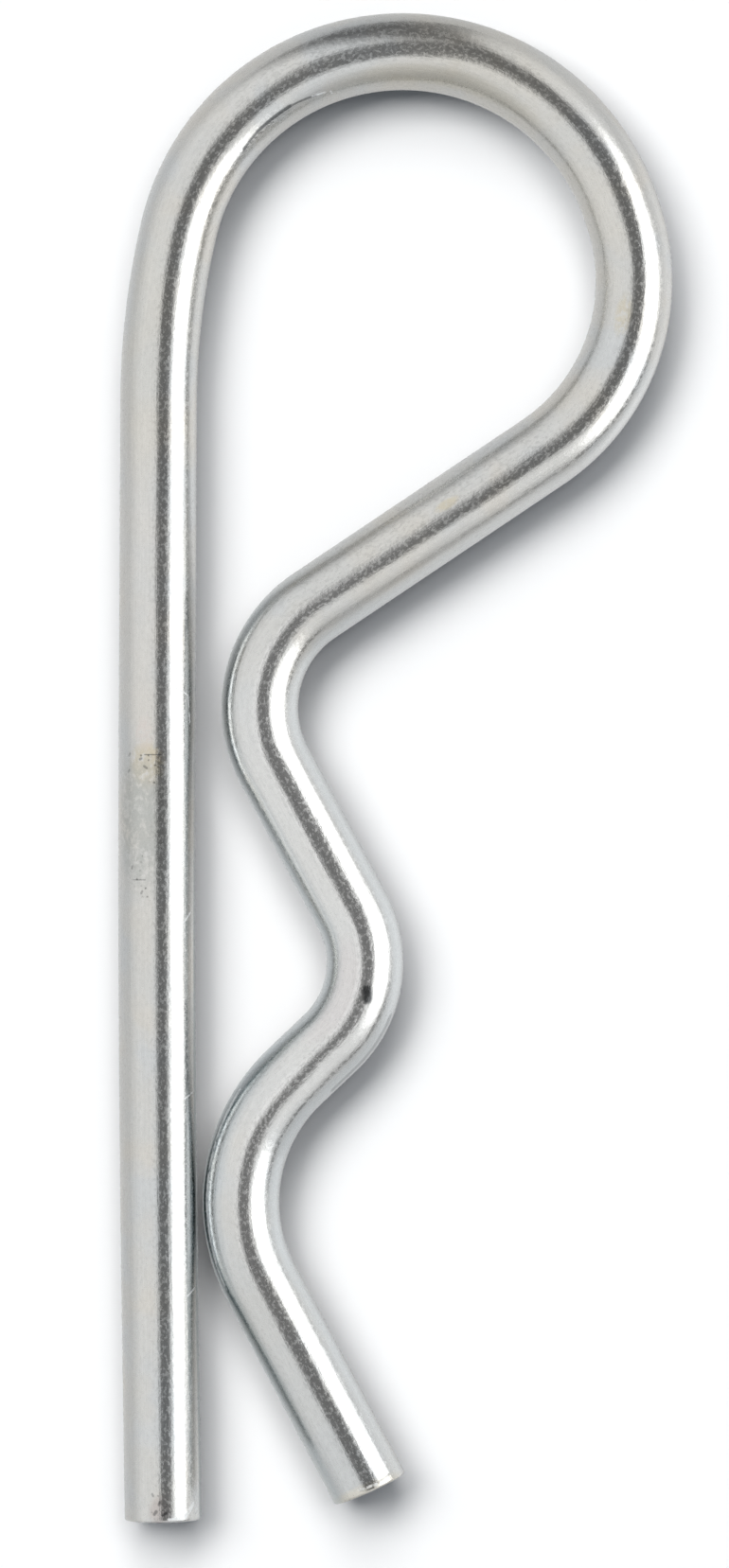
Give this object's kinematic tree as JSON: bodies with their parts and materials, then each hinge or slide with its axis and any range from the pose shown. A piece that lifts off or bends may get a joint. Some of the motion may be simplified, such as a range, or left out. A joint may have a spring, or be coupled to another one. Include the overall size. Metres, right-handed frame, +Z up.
{
  "type": "hitch r clip pin",
  "caption": "One-piece spring wire R clip: a straight leg, a round spring loop and a waved leg that snaps round a shaft, with a flared tail.",
  "frame": {"origin": "centre of the clip's outline, on the surface it lies on", "axes": "+Y runs along the straight leg from its tip to the loop, +X points to the waved leg's side, +Z points up through the thickness of the wire"},
  "size_m": [0.0294, 0.0784, 0.004],
  "materials": {
    "wire": "bright zinc plated over drawn spring wire, with tool marks and small pits"
  },
  "bodies": {
    "root": {"clip": "wire"}
  },
  "joints": []
}
